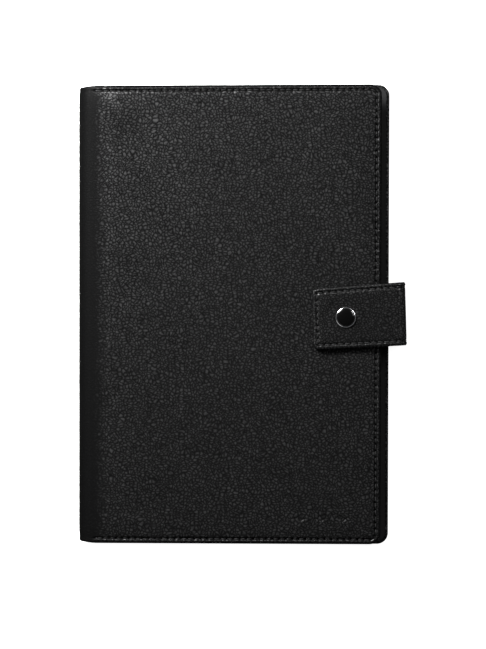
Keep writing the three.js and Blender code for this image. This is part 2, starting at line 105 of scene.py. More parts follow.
camera_data = bpy.data.cameras.new("studio_camera")
camera_data.sensor_fit = "HORIZONTAL"
camera_data.sensor_width = SENSOR
camera_data.lens = SENSOR * CAMERA_HEIGHT / VIEW_WIDTH
camera_data.clip_end = FAR_LIMIT
camera = bpy.data.objects.new("studio_camera", camera_data)
camera.location = (AIM[0] * MM, AIM[1] * MM, (CAMERA_HEIGHT + front_face_z) * MM)
bpy.context.scene.collection.objects.link(camera)
bpy.context.scene.camera = camera
bpy.context.scene.view_settings.view_transform = "Standard"
print(f"lens {camera_data.lens:.0f} mm")


# %% [markdown]
# Materials here are networks of shader nodes. They could be drawn by hand in the node editor, but
# sums are easier to read as Python. A Wire holds one output of a node, and adding or multiplying
# Wires adds Math nodes. A Finish holds one material, and its method node makes all other nodes.

# %% Shader wires
class Wire:
    """One shader value that can be used in Python sums."""

    def __init__(self, finish, socket):
        self.finish = finish
        self.socket = socket

    def math(self, operation, *others):
        values = {i: value for i, value in enumerate((self,) + others)}
        return self.finish.node("ShaderNodeMath", {"operation": operation}, values)

    def __add__(self, other):
        return self.math("ADD", other)

    __radd__ = __add__

    def __sub__(self, other):
        return self.math("SUBTRACT", other)

    def __rsub__(self, other):
        return self.finish.node("ShaderNodeMath", {"operation": "SUBTRACT"}, {0: other, 1: self})

    def __mul__(self, other):
        return self.math("MULTIPLY", other)

    __rmul__ = __mul__

    def rise(self, low, high):
        """0 below low, 1 above high, smooth between."""
        return self.finish.node("ShaderNodeMapRange", {"interpolation_type": "SMOOTHSTEP"},
                                {"Value": self, "From Min": low, "From Max": high})


class Finish:
    """The shader of a material, or of the world, and the one method that makes its nodes."""

    def __init__(self, name, world=False):
        self.owner = (bpy.data.worlds if world else bpy.data.materials).new(name)
        self.owner.use_nodes = True
        self.tree = self.owner.node_tree
        self.tree.nodes.clear()
        self.place = None

    def node(self, kind, settings=None, sockets=None, out=0):
        """Makes a node, sets it, fills or links its sockets, and gives one output as a Wire."""
        made = self.tree.nodes.new(kind)
        for key, value in (settings or {}).items():
            setattr(made, key, value)
        for key, value in (sockets or {}).items():
            if isinstance(value, Wire):
                self.tree.links.new(value.socket, made.inputs[key])
            else:
                made.inputs[key].default_value = value
        return Wire(self, made.outputs[out]) if len(made.outputs) else made

    def coordinates(self, scale=(1.0, 1.0, 1.0)):
        """Object space in millimetres, stretched by scale."""
        if self.place is None:
            self.place = self.node("ShaderNodeTexCoord", out="Object")
        factors = tuple(s / MM for s in scale)
        return self.vector("MULTIPLY", self.place, factors)

    def pattern(self):
        """Place on the flat pattern in millimetres, which stays true round every bend."""
        return self.node("ShaderNodeAttribute", {"attribute_name": "pattern"}, {}, "Vector")

    def axis(self, name, at):
        """The X, Y or Z of a place."""
        return self.node("ShaderNodeSeparateXYZ", {}, {0: at}, name)

    def vector(self, operation, first, second):
        return self.node("ShaderNodeVectorMath", {"operation": operation}, {0: first, 1: second})

    def noise(self, at, size, detail=2.0, roughness=0.5, out="Fac"):
        """Noise whose lumps are about size millimetres."""
        return self.node("ShaderNodeTexNoise", {},
                         {"Vector": at, "Scale": 1.0 / size, "Detail": detail, "Roughness": roughness}, out)

    def shift(self, at, size, by):
        """Coordinates pushed about by noise, so that no cell or thread is perfectly regular."""
        wander = self.noise(at, size, 1.0, out="Color")
        centred = self.vector("SUBTRACT", wander, (0.5, 0.5, 0.5))
        return self.vector("ADD", at, self.vector("MULTIPLY", centred, (by, by, by)))

    def border(self, at, size):
        """Distance from the borders between cells about size millimetres across."""
        return self.node("ShaderNodeTexVoronoi",
                         {"feature": "DISTANCE_TO_EDGE", "voronoi_dimensions": "2D"},
                         {"Vector": at, "Scale": 1.0 / size}, "Distance")

    def mix(self, share, first, second):
        """Colour between first and second."""
        return self.node("ShaderNodeMix", {"data_type": "RGBA"}, {0: share, 6: first, 7: second}, 2)

    def surface(self, height, depth, strength, **sockets):
        """Closes the material: one Principled surface, bumped by height (depth in millimetres)."""
        values = {key.replace("_", " "): value for key, value in sockets.items()}
        bump = {"Strength": strength, "Distance": depth * MM, "Height": height}
        values["Normal"] = self.node("ShaderNodeBump", {}, bump)
        skin = self.node("ShaderNodeBsdfPrincipled", {}, values)
        self.node("ShaderNodeOutputMaterial", {}, {"Surface": skin})
        return self.owner


def grey(value, cool=0.0):
    """A near-neutral colour; cool adds a little blue."""
    return (value, value, value * (1.0 + cool), 1.0)


print("shader tools ready")

# %% [markdown]
# Pebbled hide is shrunk or embossed by the tanner into small cushions about 1.5 mm across, parted by
# fine creases. Noise alone would give soft hills without creases, so the borders between the cells of
# a Voronoi pattern are used, pushed about by noise. Black hide shows almost none of its own colour.
# What the eye sees is the sheen on the tops, which handling has polished, so a clear coat lies on the
# cushions and fades in the creases. The base colour follows it, lighter on the tops as a painted
# highlight and darker in the creases as painted shade. In the stitched groove and on the rim, coat and
# colour are cut back as painted shade. The pattern is read from the flat sheet, so it stays true round
# every bend. Over the spine the hide is pulled smooth, and its coat and colour are painted darker there,
# a painted shade.

# %% Hide finishes
INNER_LEVEL = (-2.6, -2.0)   # hide below this is inside the cover, kept out of the rim's painted shade
SMOOTH_ROLL = 9.0            # the grain, and the sheen that the spine's painted shade takes away, come back over this length of the front
SMOOTH_SPINE = (12.0, 8.0)   # and both fade in again between these lengths round the spine
WAX = 1.9                    # refractive index of the dressing on the hide


def pebbled_hide(name, cell, light, gloss, depth, rim_shade_levels, smooth_and_shaded_below=None):
    """Pebbled black hide; where the pattern runs below that length it is pulled smooth, and its coat and
    colour are painted darker, a painted shade.
    """
    finish = Finish(name)
    flat = finish.pattern()
    drawn = finish.shift(finish.shift(flat, 9.0, 5.0), 1.7, 1.5)
    border = finish.border(finish.vector("MULTIPLY", drawn, (0.86, 1.0, 1.0)), cell)
    cushion = border.rise(0.02, 0.5)
    # Some cushions stand taller than others, some creases are broken, and small ones split the tops.
    tall = finish.noise(flat, cell * 1.1, 1.0).rise(0.32, 0.68)
    broken = finish.noise(flat, cell * 1.5, 1.0).rise(0.36, 0.6)
    crease = (1.0 - border.rise(0.0, 0.26)) * (0.3 + broken * 0.7)
    split = finish.border(finish.shift(flat, 0.9, 0.8), cell * 0.55).rise(0.0, 0.3)
    pores = finish.noise(flat, 0.2, 2.0)
    patches = finish.noise(flat, 24.0, 3.0, 0.55).rise(0.3, 0.7)
    height = cushion * (0.42 + tall * 0.3) + split * 0.16 + pores * 0.03 - crease * 0.2
    # Coat and colour follow the cushions: real gloss on the tops, and in the colour a painted highlight on
    # the tops and painted shade in the creases.
    gloss_and_painted_light = (0.14 + cushion * 0.86) * (1.0 - crease * 0.6) * (0.4 + tall * 0.45 + patches * 0.12)
    # Height on the pattern tells the face from its rim and groove, whose coat and colour are cut back as
    # painted shade.
    level = finish.axis("Z", flat)
    rim_and_groove_shade_mask = (level.rise(*rim_shade_levels) + (1.0 - level.rise(*INNER_LEVEL))).math("MINIMUM", 1.0)
    gloss_and_painted_light = gloss_and_painted_light * (0.08 + rim_and_groove_shade_mask * 0.92)
    if smooth_and_shaded_below is not None:
        wavy = finish.axis("X", flat) + tall * 2.0
        far, near = (smooth_and_shaded_below - length for length in SMOOTH_SPINE)
        grain_and_sheen = wavy.rise(smooth_and_shaded_below, smooth_and_shaded_below + SMOOTH_ROLL)
        grain_and_sheen = grain_and_sheen + (1.0 - wavy.rise(far, near)) * 0.8
        height = height * (0.2 + grain_and_sheen * 0.8)
        # Over the spine the coat and colour are painted darker: painted shade.
        gloss_and_painted_light = gloss_and_painted_light * grain_and_sheen + (0.008 + pores * 0.03 + cushion * 0.02) * (1.0 - grain_and_sheen)
    # The base colour is painted from the mask above, so its light tops are a painted highlight and its dark
    # creases, groove, rim and spine are painted shade.
    colour = finish.mix(gloss_and_painted_light, grey(0.001, 0.03), grey(light, 0.08))
    return finish.surface(height, depth, 1.0, Base_Color=colour, Roughness=0.75 - gloss_and_painted_light * 0.2,
                          Specular_IOR_Level=0.06, Coat_Weight=gloss_and_painted_light, Coat_Roughness=gloss,
                          Coat_IOR=WAX)


hide_finish = pebbled_hide("pebbled_hide", cell=1.45, light=0.005, gloss=0.44, depth=0.7,
                           rim_shade_levels=(-0.06, 0.1), smooth_and_shaded_below=hinge_x)
strap_finish = pebbled_hide("strap_hide", cell=1.3, light=0.0035, gloss=0.39, depth=0.3,
                            rim_shade_levels=(-0.35, -0.02))
print("hide finishes ready")

# %% [markdown]
# Thread is waxed black twist: two plies wound round one another, seen as slanting bands with a soft
# gloss. The lining is a plain black weave, so it takes two sets of fine ribs at right angles. Sine
# waves give both, where modelled threads would be too many. Boards, card and felt are pressed fibre,
# and the block of leaves is a stack of fine layers, so each is noise stretched the way its fibres lie.


# %% Thread, lining, board and paper finishes
def waxed_thread(name, tone):
    finish = Finish(name)
    x, y, z = (finish.axis(letter, finish.coordinates()) for letter in "XYZ")
    ply = ((x + y + z * 0.7) * 9.0).math("SINE") * 0.5 + 0.5
    fuzz = finish.noise(finish.coordinates(), 0.12, 2.0)
    colour = finish.mix(ply * 0.7 + fuzz * 0.3, grey(tone * 0.5), grey(tone * 1.6, 0.06))
    return finish.surface(ply * 0.8 + fuzz * 0.2, 0.05, 0.8, Base_Color=colour,
                          Roughness=0.6 + fuzz * 0.2)


def woven_cloth(name, tone, pitch):
    finish = Finish(name)
    at = finish.shift(finish.coordinates(), 6.0, 0.35)
    turn = 2.0 * math.pi / pitch
    warp, weft = ((finish.axis(letter, at) * turn).math("SINE") for letter in "XY")
    over = warp * weft * 0.5 + 0.5
    fuzz = finish.noise(finish.coordinates(), 0.3, 3.0)
    patches = finish.noise(finish.coordinates(), 28.0, 2.0)
    height = over * 0.75 + fuzz * 0.25
    colour = finish.mix(height * 0.8 + patches * 0.2, grey(tone * 0.55, 0.05), grey(tone * 1.5, 0.08))
    return finish.surface(height, 0.08, 0.7, Base_Color=colour, Roughness=0.78 + fuzz * 0.15)


def shaded(tone, share):
    """A colour made lighter or darker."""
    return tuple(min(1.0, part * share) for part in tone) + (1.0,)


def leafed_paper(name, tone):
    finish = Finish(name)
    leaves = finish.noise(finish.coordinates((0.02, 0.02, 1.0)), 0.11, 1.0)
    mottle = finish.noise(finish.coordinates(), 1.4, 3.0)
    colour = finish.mix(leaves * 0.75 + mottle * 0.25, shaded(tone, 0.72), shaded(tone, 1.0))
    return finish.surface(leaves, 0.05, 0.6, Base_Color=colour, Roughness=0.82 + mottle * 0.1)


def fibre_board(name, tone):
    finish = Finish(name)
    fibres = finish.noise(finish.coordinates((1.0, 0.35, 1.0)), 0.7, 4.0, 0.6)
    clouds = finish.noise(finish.coordinates(), 12.0, 2.0)
    colour = finish.mix(fibres * 0.6 + clouds * 0.4, shaded(tone, 0.75), shaded(tone, 1.15))
    return finish.surface(fibres, 0.04, 0.5, Base_Color=colour, Roughness=0.75 + fibres * 0.15)


thread_finish = waxed_thread("waxed_thread", 0.0025)
lining_finish = woven_cloth("woven_lining", 0.007, 0.55)
tape_finish = woven_cloth("binding_tape", 0.014, 0.4)
paper_finish = leafed_paper("leafed_paper", (0.78, 0.74, 0.64))
card_finish = fibre_board("kraft_card", (0.36, 0.25, 0.14))
board_finish = fibre_board("grey_board", (0.17, 0.15, 0.12))
felt_finish = fibre_board("felt_padding", (0.045, 0.045, 0.047))
print("soft finishes ready")

# %% [markdown]
# The snap is pressed metal: a polished ring holding a domed black enamel face, and plated parts
# behind. A plain mirror would look drawn rather than made, so fine scuffs vary the roughness.


# %% Metal and enamel finishes
def plated_metal(name, tone, gloss):
    finish = Finish(name)
    scuffs = finish.noise(finish.coordinates((1.0, 0.3, 1.0)), 0.35, 3.0)
    patches = finish.noise(finish.coordinates(), 2.5, 2.0)
    colour = finish.mix(patches, grey(tone * 0.9), grey(tone, 0.01))
    return finish.surface(scuffs, 0.01, 0.3, Base_Color=colour, Metallic=1.0,
                          Roughness=gloss + scuffs * 0.08)


def black_enamel(name):
    finish = Finish(name)
    dust = finish.noise(finish.coordinates(), 0.5, 3.0)
    ripple = finish.noise(finish.coordinates(), 2.0, 1.0)
    return finish.surface(ripple, 0.015, 0.3, Base_Color=finish.mix(dust, grey(0.001), grey(0.003)),
                          Roughness=0.12 + dust * 0.08, Coat_Weight=0.5, Coat_Roughness=0.06)


ring_finish = plated_metal("polished_ring", 0.82, 0.1)
plate_finish = plated_metal("nickel_plate", 0.55, 0.28)
enamel_finish = black_enamel("black_enamel")
print("hard finishes ready")

# %% [markdown]
# Every sewn panel is one closed skin. An even grid would need far too many points to show the edge,
# so the panel is drawn flat as rings that follow its outline, one for each step of the edge's
# cross-section: inner face, turned-in margin, rounded edge, the ridge outside the stitches, their
# groove, and the swell of the padding. A coarser grid, joined to the last ring, fills the middle.

# %% Outlines
CORNER_POINTS = 8
RIM_STEPS = 5


def inset_corners(corners, inset):
    signs = np.array([[1, 1], [-1, 1], [-1, -1], [1, -1]], float)
    return np.array(corners, float) + signs * inset


def half_corner(before, corner, after, radius):
    """From the middle of a rounded corner to the start of the straight side towards after."""
    if radius <= 0.0:
        return corner[None, :]
    start = corner + (before - corner) / np.linalg.norm(before - corner) * radius
    end = corner + (after - corner) / np.linalg.norm(after - corner) * radius
    centre = start + end - corner
    turn = np.linspace(math.pi / 4, math.pi / 2, CORNER_POINTS)[:, None]
    return centre + (start - centre) * np.cos(turn) + (end - centre) * np.sin(turn)


def outline_loop(corners, radii, inset, counts):
    """Points round a rounded four-sided outline, anticlockwise from its first corner."""
    quad = inset_corners(corners, inset)
    loop = []
    for i in range(4):
        start, end = quad[i], quad[(i + 1) % 4]
        before, after = quad[(i + 3) % 4], quad[(i + 2) % 4]
        first = half_corner(before, start, end, max(radii[i] - inset, 0.0))
        last = half_corner(after, end, start, max(radii[(i + 1) % 4] - inset, 0.0))[::-1]
        side = np.vstack([first, last])
        steps = path_lengths(side)
        at = np.linspace(0.0, steps[-1], counts[i] + 1)[:-1]
        loop.append(np.c_[np.interp(at, steps, side[:, 0]), np.interp(at, steps, side[:, 1])])
    return np.vstack(loop)


def path_lengths(points):
    """Distance along a line of points, starting at 0."""
    return np.r_[0.0, np.cumsum(np.linalg.norm(np.diff(points, axis=0), axis=1))]


def rounded_rim(radius):
    """Insets and rises of a quarter-round, from the flat to the edge."""
    turn = np.linspace(0, math.pi / 2, RIM_STEPS)
    return [(radius * (1 - math.sin(a)), radius * (1 - math.cos(a))) for a in turn]


print("outline tools ready")

# %% Skins from rings
SPREAD_WIDTH = 20.0        # the grain leans outwards within this of the middle


def make_object(name, points, faces, material, flat=None):
    """A smooth mesh object from points in millimetres; flat is where they lay on the pattern."""
    mesh = bpy.data.meshes.new(name)
    mesh.from_pydata((np.asarray(points, float) * MM).tolist(), [], faces)
    if flat is not None:
        x, y, z = flat.T
        spread = np.c_[x - z, y - z * np.clip(y / SPREAD_WIDTH, -1, 1), z]
        mesh.attributes.new("pattern", "FLOAT_VECTOR", "POINT").data.foreach_set("vector", spread.ravel())
    mesh.materials.append(material)
    work = bmesh.new()
    work.from_mesh(mesh)
    if work.calc_volume(signed=True) < 0:
        bmesh.ops.reverse_faces(work, faces=work.faces)
    work.to_mesh(mesh)
    work.free()
    mesh.polygons.foreach_set("use_smooth", [True] * len(mesh.polygons))
    made = bpy.data.objects.new(name, mesh)
    bpy.context.scene.collection.objects.link(made)
    return made


def band_faces(base, rings, around):
    """Faces between rings of points that follow one another."""
    a = base + np.arange((rings - 1) * around).reshape(-1, around)
    b = np.roll(a, -1, axis=1)
    return np.stack([a, b, b + around, a + around], -1).reshape(-1, 4).tolist()


def tube_faces(base, rings, around):
    """The same bands with both ends closed."""
    low = list(range(base, base + around))
    return band_faces(base, rings, around) + [low[::-1], [k + (rings - 1) * around for k in low]]


def ring_skin(corners, radii, insets, height, spacing, coarse=1, margin=1.7):
    """
    Closed skin through rings at the given insets. height(ring, points, middle) gives the level of a
    ring's points, or, where middle is true, of the grid inside the first or last ring.
    """
    quad = np.array(corners, float)
    sides = [np.linalg.norm(quad[(i + 1) % 4] - quad[i]) for i in range(4)]
    across = coarse * max(2, round(max(sides[0], sides[2]) / (spacing[0] * coarse)))
    along = coarse * max(2, round(max(sides[1], sides[3]) / (spacing[1] * coarse)))
    counts = [across, along, across, along]
    total = sum(counts)
    layers = []
    for k, inset in enumerate(insets):
        loop = outline_loop(corners, radii, inset, counts)
        layers.append(np.c_[loop, height(k, loop, False)])
    faces = band_faces(0, len(insets), total)
    base = len(insets) * total
    for k in (0, len(insets) - 1):
        fine = np.arange(total) + k * total
        grid, more = middle_grid(inset_corners(corners, insets[k] + margin), across // coarse,
                                 along // coarse, fine, base, coarse)
        layers.append(np.c_[grid, height(k, grid, True)])
        base += len(grid)
        faces += [face[::-1] for face in more] if k == 0 else more
    return np.vstack(layers), faces


def middle_grid(quad, across, along, fine, base, coarse):
    """An even grid over a four-sided area, joined to the finer ring round it."""
    u, v = np.meshgrid(np.linspace(0, 1, across + 1), np.linspace(0, 1, along + 1), indexing="ij")
    u, v = u[..., None], v[..., None]
    grid = quad[0] * (1 - u) * (1 - v) + quad[1] * u * (1 - v) + quad[2] * u * v + quad[3] * (1 - u) * v
    index = base + np.arange((across + 1) * (along + 1)).reshape(across + 1, along + 1)
    faces = np.stack([index[:-1, :-1], index[1:, :-1], index[1:, 1:], index[:-1, 1:]], -1)
    faces = faces.reshape(-1, 4).tolist()
    rim = np.r_[index[:-1, 0], index[-1, :-1], index[:0:-1, -1], index[0, :0:-1]].tolist()
    half = coarse // 2
    for i, a in enumerate(rim):
        b = rim[(i + 1) % len(rim)]
        run = [int(fine[(i * coarse + k) % len(fine)]) for k in range(coarse + 1)]
        if coarse == 1:
            faces.append([run[0], run[1], b, a])
        else:
            faces += [run[:half + 1] + [a], [run[half], b, a], run[half:] + [b]]
    return grid.reshape(-1, 2), faces


print("ring tools ready")

# %% [markdown]
# A fold carries the flat pattern round the cover. A curve modifier could bend a mesh too, but hide,
# lining and stitches would have to be bent alike and kept in step. Here a fold is a line in the x-z
# plane with a length coordinate: a point of the pattern goes to its place on the line, and its height
# above the pattern becomes distance along the line's normal. All that is drawn on one pattern then
# bends together.


# %% Folds
class Fold:
    """Bends flat (length, y, height) points round a line of [x, z] points."""

    def __init__(self, line, first, direction, side):
        line = np.asarray(line, float)
        at = first + direction * path_lengths(line)
        tangent = np.gradient(line, axis=0)
        tangent /= np.linalg.norm(tangent, axis=1)[:, None]
        normal = side * np.c_[tangent[:, 1], -tangent[:, 0]]
        order = np.argsort(at)
        self.at, self.line, self.normal = at[order], line[order], normal[order]

    def place(self, flat):
        x, z = (np.interp(flat[:, 0], self.at, self.line[:, k]) for k in (0, 1))
        nx, nz = (np.interp(flat[:, 0], self.at, self.normal[:, k]) for k in (0, 1))
        return np.c_[x + nx * flat[:, 2], flat[:, 1], z + nz * flat[:, 2]]

    def where_z(self, z, low, high):
        """Length coordinate, between low and high, where the line is at this height."""
        inside = (self.at > low) & (self.at < high)
        nearest = np.argmin(np.abs(self.line[inside, 1] - z))
        return float(self.at[inside][nearest])


def opened(points, faces):
    """Points and faces as a bmesh, for cutting and dividing."""
    mesh = bpy.data.meshes.new("pattern")
    mesh.from_pydata(points.tolist(), [], faces)
    work = bmesh.new()
    work.from_mesh(mesh)
    bpy.data.meshes.remove(mesh)
    return work


def closed(work):
    """The points and faces of a bmesh, which is freed."""
    work.verts.index_update()
    points = np.array([v.co for v in work.verts])
    faces = [[v.index for v in face.verts] for face in work.faces]
    work.free()
    return points, faces


def trim(points, faces, position, keep_above):
    """Cuts a flat skin at a length coordinate, keeps one side and closes the cut."""
    work = opened(points, faces)
    everything = work.verts[:] + work.edges[:] + work.faces[:]
    cut = bmesh.ops.bisect_plane(work, geom=everything, plane_co=(position, 0, 0), plane_no=(1, 0, 0),
                                 clear_inner=keep_above, clear_outer=not keep_above)
    edges = [item for item in cut["geom_cut"] if isinstance(item, bmesh.types.BMEdge)]
    bmesh.ops.holes_fill(work, edges=edges)
    return closed(work)


print("fold tools ready")

# %% [markdown]
# Stitches are separate short lengths of twist that rise out of one hole and dive into the next. They
# could be painted on as a pattern, but at the edge of the cover they stand out against the light, so
# they are real. One bean-shaped stitch is set down again and again along the seam, each with its own
# tiny slant.

# %% Seams
PITCH = 3.25               # from hole to hole round the panels
THREAD = 0.3               # half the thread's width
STITCH_SHARE = 0.8         # part of the pitch that the thread covers
SLANT = 4.0                # degrees
STATIONS, AROUND = 7, 8    # rings along one stitch, and points round each


class Seam:
    """A row of stitches along a flat line of points."""

    def __init__(self, line, pitch=PITCH):
        self.line, self.steps = line, path_lengths(line)
        self.count = max(1, int(round(self.steps[-1] / pitch)))
        self.pitch = self.steps[-1] / self.count

    def at(self, distance):
        return np.c_[np.interp(distance, self.steps, self.line[:, 0]),
                     np.interp(distance, self.steps, self.line[:, 1])]

    def nearest(self, points):
        """Distance along the seam of the spot nearest to each point."""
        best = np.empty(len(points))
        for start in range(0, len(points), 400):
            gap = points[start:start + 400, None, :2] - self.line[None, :, :]
            best[start:start + 400] = self.steps[np.argmin((gap ** 2).sum(axis=2), axis=1)]
        return best

    def beads(self, level, seed, side, keep=None):
        """Points and faces of every stitch, standing above (side 1) or below (side -1) a level."""
        draws = np.random.default_rng(seed)
        points, faces = [], []
        for i in range(self.count):
            middle = (i + 0.5) * self.pitch
            reach = self.pitch * STITCH_SHARE / 2
            ends = self.at(np.array([middle - reach, middle + reach]))
            length = np.linalg.norm(ends[1] - ends[0])
            tilt = math.radians(SLANT + draws.normal(0, 1.6))
            along = turned_by((ends[1] - ends[0]) / length, tilt)
            across = np.array([-along[1], along[0]])
            centre = ends.mean(axis=0) + draws.normal(0, 0.03, 2)
            own_level = level + draws.normal(0, 0.015)
            if keep is not None and not keep(centre):
                continue
            base = len(points)
            for k in range(STATIONS):
                u = k / (STATIONS - 1)
                swell = math.sin(math.pi * (0.08 + 0.84 * u))
                radius = THREAD * (0.45 + 0.55 * swell ** 0.5)
                rise = THREAD * (1.15 * swell - 0.75)
                spot = centre + along * length * (u - 0.5)
                for j in range(AROUND):
                    turn = 2 * math.pi * j / AROUND
                    flat = spot + across * radius * math.cos(turn)
                    points.append([*flat, own_level + side * (rise + radius * 0.8 * math.sin(turn))])
            faces += tube_faces(base, STATIONS, AROUND)
        return np.array(points), faces


def turned_by(direction, angle):
    c, s = math.cos(angle), math.sin(angle)
    return np.array([direction[0] * c - direction[1] * s, direction[0] * s + direction[1] * c])


print("seam tools ready")

# %% Unevenness
KNOTS = 4096
WAVES = 5


def smooth_random(seed, spacing):
    """A smooth random function of a length in millimetres."""
    values = np.random.default_rng(seed).normal(0, 1, KNOTS)
    knots = (np.arange(KNOTS) - KNOTS // 2) * spacing
    return lambda distance: np.interp(distance, knots, values)


def slow_waves(points, seed, size=40.0):
    """Gentle unevenness of hide over a board, about -1 to 1."""
    draws = np.random.default_rng(seed)
    height = np.zeros(len(points))
    for _ in range(WAVES):
        angle, phase = draws.uniform(0, 2 * math.pi, 2)
        length = size * draws.uniform(0.6, 1.5)
        along = points[:, 0] * math.cos(angle) + points[:, 1] * math.sin(angle)
        height += np.sin(along * 2 * math.pi / length + phase) / 3.0
    return height


def ramp(value, low, high):
    """0 below low, 1 above high, smooth between."""
    t = np.clip((value - low) / (high - low), 0, 1)
    return t * t * (3 - 2 * t)


def bump(offset, width):
    """A round bump of height 1."""
    return math.exp(-(offset / width) ** 2)


print("unevenness tools ready")

# %% [markdown]
# The hide goes round the whole cover in one piece: over the padded front, round the soft spine and
# under the back. It is turned over board and padding at head, tail and fore-edge and stitched
# through 2.45 mm inside the edge. The needle pulls it down, so it swells between seam and edge and
# puckers on the other side. The spine has two folds that move, and a bending piece can cross only
# one, so the wrap is drawn as a front half and a back half that meet in the middle of the spine.

# %% The wrap's pattern
SPINE_THICK = 3.1          # hide, stiffener and lining round the spine
SEAM_INSET = 2.45
SEAM_POINTS = 400          # for each side of the outline
ROLL_START = 12.0          # the face leaves its plane this far before the hinge
ROLL_LENGTH = 13.0
PATTERN_REACH = 170.0      # from the hinge to past the fore-edge
SPARE = 14.0               # past the cut in the middle of the spine
MID_Z = (front_face_z + back_low[2]) / 2
STEP = 0.2
FLAT_STEPS = 60


def wrap_line(face_z, toward, roll):
    """Outer face from the fore-edge to past mid-spine: flat, a gentle roll, then the bend."""
    def walk(bend_length):
        s = np.arange(0, ROLL_LENGTH + bend_length + SPARE, STEP)
        t = np.clip((s - ROLL_LENGTH) / bend_length, 0, 1)
        angle = roll * ramp(s, 0, ROLL_LENGTH)
        angle = angle + (math.pi / 2 - roll) * (t - 0.5 * np.sin(2 * math.pi * t) / (2 * math.pi))
        x = hinge_x + ROLL_START - np.cumsum(np.cos(angle)) * STEP
        z = face_z + toward * np.cumsum(np.sin(angle)) * STEP
        return np.c_[x, z]

    # The bend's length is found by halving: the line has to end at the back of the spine.
    low, high = 4.0, 30.0
    for _ in range(40):
        middle = (low + high) / 2
        low, high = (low, middle) if walk(middle)[-1, 0] < spine_x else (middle, high)
    flat = np.linspace(hinge_x + PATTERN_REACH, hinge_x + ROLL_START, FLAT_STEPS)
    return np.vstack([np.c_[flat, np.full(FLAT_STEPS, face_z)], walk(high)])


def panel_thickness(along, thick):
    """Hide, padding, board and turned margin over the panel; thinner round the spine."""
    return SPINE_THICK + (thick - SPINE_THICK) * ramp(along, hinge_x - 4.0, hinge_x)


def pattern_corners(edge, left):
    """The panel on the pattern, from left to its fore-edge, a little taller at the fore-edge."""
    half_left = half_height + HEAD_FLARE * (left - hinge_x) / (edge - hinge_x)
    return [[left, -half_left], [edge - FORE_LEAN, -half_height - HEAD_FLARE],
            [edge + FORE_LEAN, half_height + HEAD_FLARE], [left, half_left]]


def drawn_in(flat):
    """The wrap is 0.9 mm shorter at each end over the spine than over the panels."""
    drop = 0.9 * ramp(-flat[:, 0], -hinge_x - 1.0, -hinge_x + 11.0)
    out = flat.copy()
    out[:, 1] *= 1 - drop / half_height
    return out


def panel_seam(corners):
    """The seam along tail, fore-edge and head of a panel; it stops at the hinge."""
    loop = outline_loop(corners, FORE_RADII, SEAM_INSET, [SEAM_POINTS] * 4)
    loop = loop[:3 * SEAM_POINTS + 1]
    return Seam(loop[loop[:, 0] > hinge_x + 0.3])


print(f"seam {SEAM_INSET} mm inside the edge")

# %% The seam's relief
GROOVE_DEPTH, GROOVE_WIDTH = 0.7, 0.46
RIDGE_INSET, RIDGE_WIDTH = 1.6, 0.45
CORNER_REACH = 3.0         # the hide is pulled tight round a corner, so its ridge is lower there


def seam_relief(seam, points, inset, seed, swell):
    """Height that the seam gives a ring of the outer face: groove, holes, ridge and puckers."""
    wrinkle = smooth_random(seed, 1.7)
    slow = smooth_random(seed + 1, 8.0)
    spot = seam.nearest(points)
    phase = np.cos(2 * math.pi * spot / seam.pitch)
    sewn = ramp(points[:, 0], hinge_x - 1.2, hinge_x + 0.6)
    groove = bump(inset - SEAM_INSET, GROOVE_WIDTH) * (GROOVE_DEPTH + 0.26 * phase)
    from_corner = np.c_[points[:, 0], np.abs(points[:, 1])] - seam.line.max(axis=0)
    tight = np.exp(-(from_corner ** 2).sum(axis=1) / CORNER_REACH ** 2)
    ridge = bump(inset - RIDGE_INSET, RIDGE_WIDTH) * (1 - 0.75 * tight)
    lift = (0.04 + 1.1 * swell) * (1 - 0.3 * phase) + 0.05 * slow(spot)
    height = sewn * (ridge * lift - groove)
    inside = inset - SEAM_INSET
    if inside > 0:
        pucker = -0.08 * phase * math.exp(-inside / 1.5)
        height += sewn * (pucker + 0.05 * wrinkle(spot) * math.exp(-inside / 4.0))
        height += swell * (1 - math.exp(-inside / 3.0))
    return height


print(f"groove {GROOVE_DEPTH} mm deep")

# %% The wrap's cross-section
MARGIN_WIDTH = 7.0
FACE_INSETS = [1.2, 1.55, 1.85, 2.1, 2.28, 2.45, 2.62, 2.8, 3.1, 3.6, 4.3, 5.3, 6.6, 8.2]
RIM = rounded_rim(1.0)
PLUMP_SPOT = np.array([hinge_x + 12.0, half_height - 11.0])   # where the padding is thickest
PLUMP_WIDTH = 7.0
WRAP_SPACING = (0.82, 0.82)


def wrap_skin(panel, seed, swell, plump):
    """Hide as a hollow shell: inner face, margin turned in, rounded edge and outer face."""
    # Each ring is an inset from the outline and a rise. Inner rings rise from the panel's inner face.
    under = LEATHER + 0.1
    from_inner = [(under, TURN_IN), (MARGIN_WIDTH, TURN_IN), (MARGIN_WIDTH, 0.0), *RIM]
    from_face = [(inset, -rise) for inset, rise in RIM[::-1]] + [(inset, 0.0) for inset in FACE_INSETS]
    rings = [(9.0, -LEATHER), (under, -LEATHER)] + from_inner + from_face
    inner_rings = range(2, 2 + len(from_inner))
    face_start = len(rings) - len(FACE_INSETS)

    def height(k, points, middle):
        inset, rise = rings[k]
        if k in inner_rings:
            return rise - panel_thickness(points[:, 0], panel.thick)
        level = np.full(len(points), rise)
        if k < face_start:
            return level
        away = (points - PLUMP_SPOT) / PLUMP_WIDTH
        level = level + plump * np.exp(-(away ** 2).sum(axis=1) / 2)
        if middle:
            over_board = ramp(points[:, 0], hinge_x, hinge_x + 20)
            return level + swell + 0.08 * slow_waves(points, seed) * over_board
        return level + seam_relief(panel.seam, points, inset, seed, swell)

    insets = [inset for inset, _ in rings]
    return ring_skin(panel.corners, FORE_RADII, insets, height, WRAP_SPACING, 2)


print(len(FACE_INSETS), "rings on the wrap's face")

